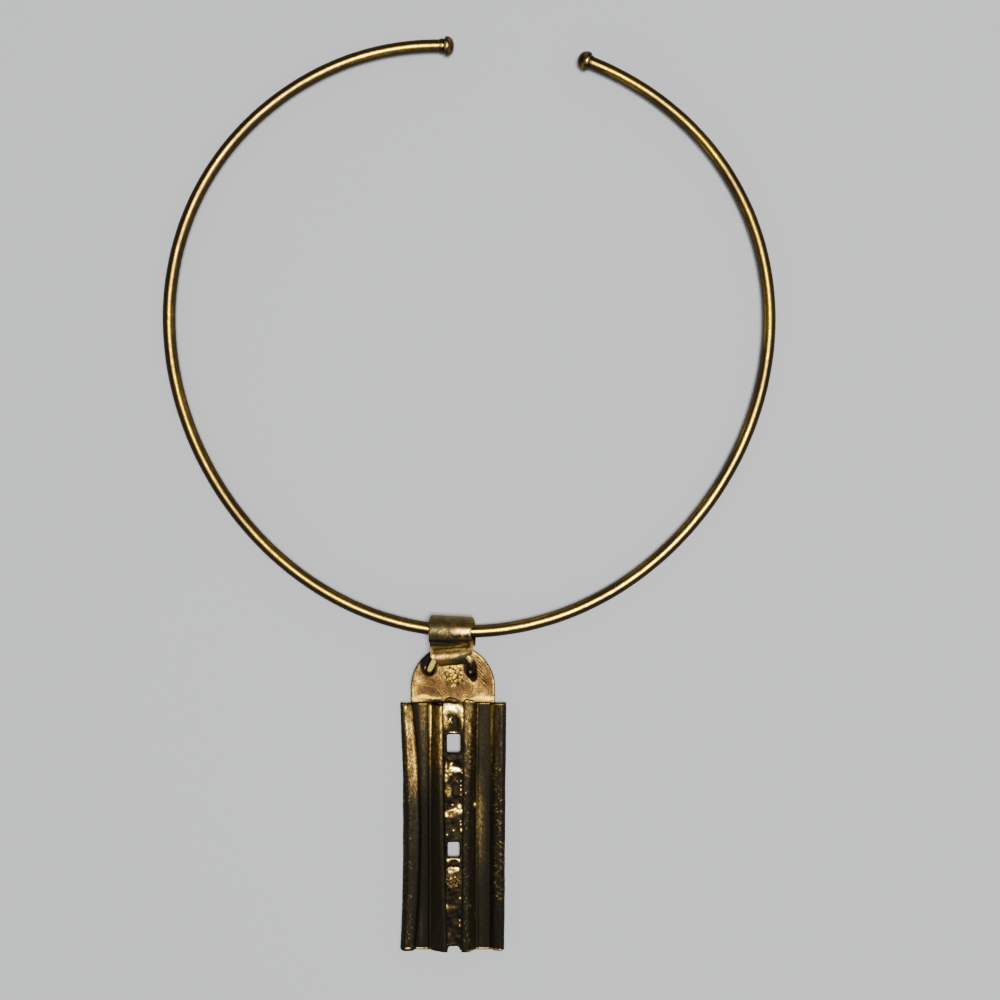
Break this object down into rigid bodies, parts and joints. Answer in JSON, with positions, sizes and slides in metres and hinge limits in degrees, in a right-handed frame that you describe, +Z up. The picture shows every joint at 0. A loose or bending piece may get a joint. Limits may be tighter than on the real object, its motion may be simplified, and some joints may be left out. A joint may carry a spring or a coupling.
{
  "type": "rigid wire choker with a fluted drop pendant",
  "caption": "Stiff open neck ring of round brass wire with ball ends, a rolled strip bail and a long fluted cast pendant, lying flat.",
  "frame": {"origin": "middle of the neck opening, on the resting surface", "axes": "+Z up from the resting surface, +Y towards the gap at the nape, the pendant towards -Y"},
  "size_m": [0.1318, 0.1969, 0.0066],
  "materials": {
    "wire_brass": "drawn brass wire, worn bright, with fine nicks and brown tarnish at the sides",
    "cap_brass": "reddish brass ball, polished, tarnished in its groove",
    "bail_bronze": "satin strip with dull brown tarnish and a worn bright band",
    "link_brass": "bent wire, worn bright in front and nearly black in the holes",
    "pendant_patina": "cast brass with a dark olive brown patina, worn gold on the ridges and the run metal"
  },
  "bodies": {
    "root": {"neck_ring": "wire_brass", "end_cap_left": "cap_brass", "end_cap_right": "cap_brass", "bail": "bail_bronze", "link": "link_brass", "pendant": "pendant_patina"}
  },
  "joints": []
}
